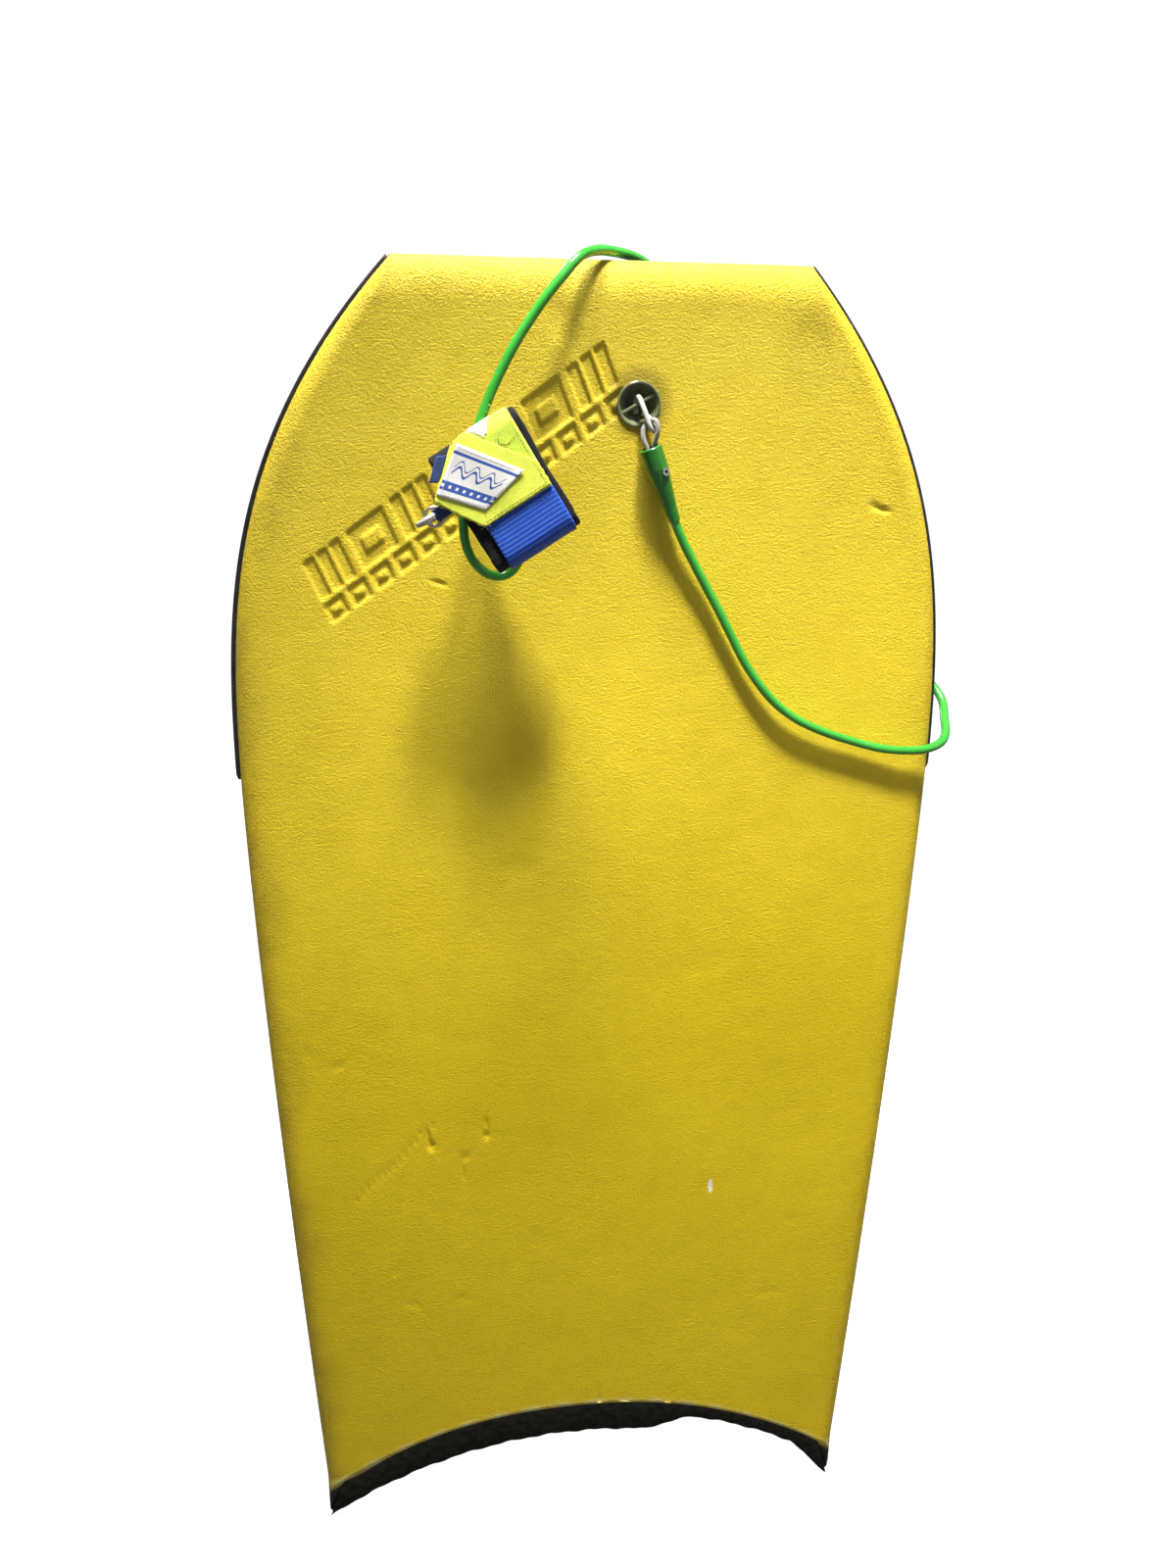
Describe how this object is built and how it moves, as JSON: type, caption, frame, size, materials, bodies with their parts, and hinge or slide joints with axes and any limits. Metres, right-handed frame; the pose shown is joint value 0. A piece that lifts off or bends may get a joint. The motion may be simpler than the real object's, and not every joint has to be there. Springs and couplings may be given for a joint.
{
  "type": "bodyboard",
  "caption": "Foam bodyboard standing on its crescent tail, with black rail bumpers, a screwed leash plug and a cord wrist leash whose cuff flap peels open.",
  "frame": {"origin": "centre of the board's footprint at the lowest point of the tail", "axes": "+Z from the tail to the nose, -Y out of the deck, +Y out of the slick bottom, +X to the right seen from the deck side"},
  "size_m": [0.5836, 0.1343, 1.1264],
  "materials": {
    "core_foam": "closed-cell foam",
    "deck_foam": "crinkled closed-cell foam skin",
    "slick": "smooth polyethylene sheet",
    "rail_foam": "pebbled foam skin",
    "bumper": "dense foam strip",
    "plug_plastic": "smoky translucent moulding",
    "white_string": "braided string",
    "grey_string": "twisted string",
    "boot_green": "glossy moulded sleeve",
    "leash_green": "glossy urethane cord",
    "steel": "polished",
    "neoprene": "foam rubber with knit face",
    "blue_webbing": "ribbed webbing",
    "lime_fabric": "loop pile tape",
    "label_cloth": "woven label",
    "tab_blue": "folded webbing"
  },
  "bodies": {
    "board": {"foam_core": "core_foam", "deck_skin": "deck_foam", "slick_skin": "slick", "rail_skin_left": "rail_foam", "rail_skin_right": "rail_foam", "nose_skin": "rail_foam", "tail_skin": "rail_foam", "rail_bumper_left": "bumper", "rail_bumper_right": "bumper", "plug_cup": "plug_plastic", "plug_cap": "plug_plastic", "plug_string": "white_string", "leash_loop": "grey_string", "leash_boot": "boot_green", "leash_rivet": "steel", "leash_cord": "leash_green", "cuff_boot": "boot_green", "cuff_rivet": "steel", "cuff_string": "white_string", "cuff_ring": "steel", "cuff_ring_tab": "tab_blue", "cuff_pad": "neoprene", "cuff_webbing": "blue_webbing", "cuff_strap": "lime_fabric", "cuff_tab": "tab_blue", "cuff_patch": "label_cloth"},
    "flap": {"cuff_flap": "lime_fabric", "cuff_label": "label_cloth"}
  },
  "joints": [
    {"name": "cuff_flap_peel", "type": "hinge", "parent": "board", "child": "flap", "pos_m": [-0.12168, -0.0878, 0.95459], "axis": [-0.3142, 0, -0.9494], "range_deg": [0, 140]}
  ]
}
